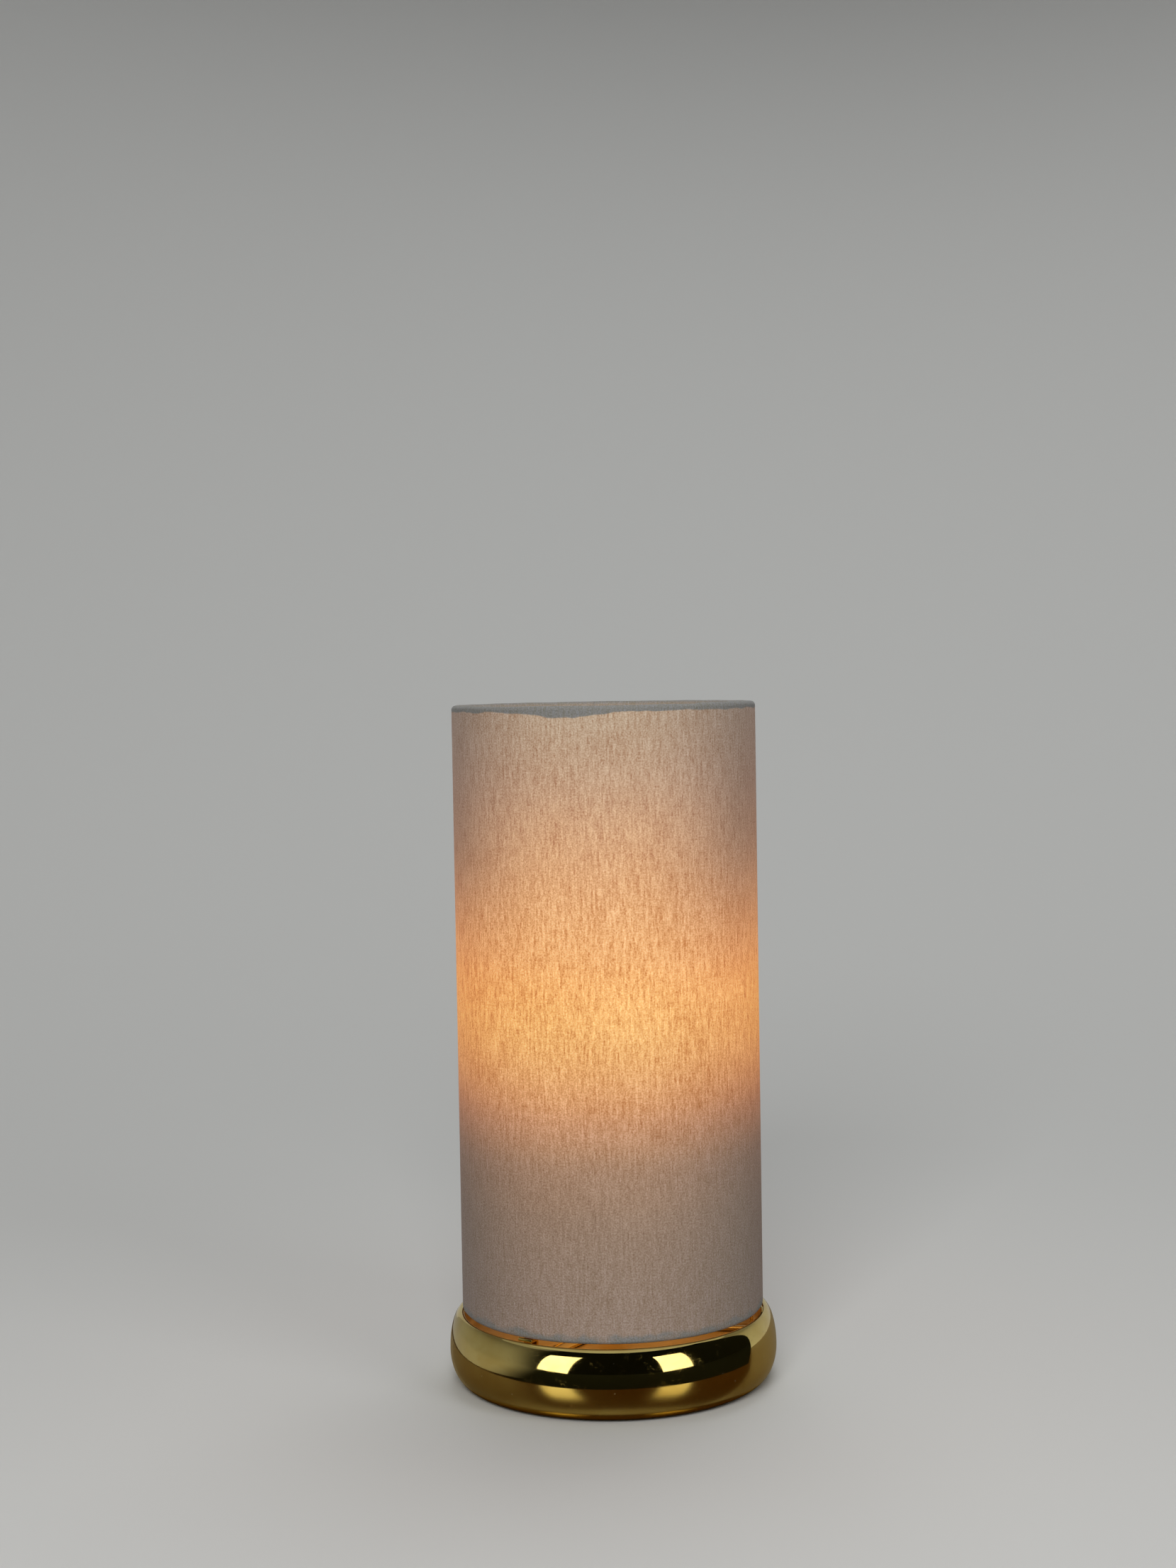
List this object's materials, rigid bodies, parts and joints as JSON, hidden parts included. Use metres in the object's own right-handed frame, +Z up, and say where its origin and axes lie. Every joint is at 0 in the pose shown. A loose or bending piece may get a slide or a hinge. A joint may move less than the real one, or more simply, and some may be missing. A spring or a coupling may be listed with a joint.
{
  "type": "table lamp",
  "caption": "Table lamp with a tall linen drum shade that lifts off a low polished brass ring base, over an E27 screw bulb in a lampholder on a stem",
  "frame": {"origin": "Centre of the lamp's underside, where its axis meets the table", "axes": "+Z up along the lamp's axis, -Y towards the front, +Y towards the cord inlet at the back, +X to the right seen from the front"},
  "size_m": [0.163, 0.1645, 0.337],
  "materials": {
    "polished_brass": "mirror polished",
    "contact_brass": "satin",
    "cast_iron": "as cast",
    "zinc_steel": "zinc plated",
    "nickel_plate": "satin nickel",
    "board_aluminium": "satin",
    "felt": "felted",
    "black_plastic": "matt",
    "white_plastic": "matt moulded",
    "white_ceramic": "unglazed",
    "circuit_board": "solder mask",
    "bulb_body": "gloss",
    "opal_dome": "opal",
    "linen": "plain weave with slubs",
    "liner_sheet": "satin sheet",
    "white_wire": "powder coated"
  },
  "bodies": {
    "base": {"base_shell": "polished_brass", "felt_pad": "felt", "ballast": "cast_iron", "cord_grommet": "black_plastic", "threaded_tube": "zinc_steel", "bottom_washer": "zinc_steel", "bottom_nut": "zinc_steel", "shade_carrier": "polished_brass", "deck_washer": "polished_brass", "deck_nut": "polished_brass", "stem_sleeve": "polished_brass", "holder_cap": "white_plastic", "holder_grub_screw": "zinc_steel", "holder_insert": "white_ceramic", "center_contact": "contact_brass", "side_contact": "contact_brass", "terminal_screw_live": "contact_brass", "terminal_screw_neutral": "zinc_steel", "holder_skirt": "white_plastic"},
    "bulb_tip": {"bulb_contact_tip": "nickel_plate"},
    "bulb": {"bulb_insulator": "black_plastic", "bulb_screw_cap": "nickel_plate", "bulb_housing": "bulb_body", "bulb_driver_board": "circuit_board", "bulb_led_board": "board_aluminium", "bulb_diffuser": "opal_dome"},
    "shade_foot": {"shade_bottom_ring": "white_wire"},
    "shade": {"shade_fabric": "linen", "shade_liner": "liner_sheet", "shade_top_ring": "white_wire"}
  },
  "joints": [
    {"name": "bulb_rise", "type": "slide", "parent": "base", "child": "bulb_tip", "axis": [0, 0, 1], "range_m": [0, 0.01452]},
    {"name": "bulb_turn", "type": "hinge", "parent": "bulb_tip", "child": "bulb", "pos_m": [0, 0, 0.1125], "axis": [0, 0, 1], "range_deg": [0, 1440]},
    {"name": "shade_lift", "type": "slide", "parent": "base", "child": "shade_foot", "axis": [0, 0, 1], "range_m": [0, 0.2]},
    {"name": "shade_turn", "type": "hinge", "parent": "shade_foot", "child": "shade", "pos_m": [0, 0, 0.0392], "axis": [0, 0, 1], "continuous": true}
  ],
  "couplings": [
    {"joint": "bulb_rise", "follows": "bulb_turn", "m_per_rad": 0.00057757}
  ]
}
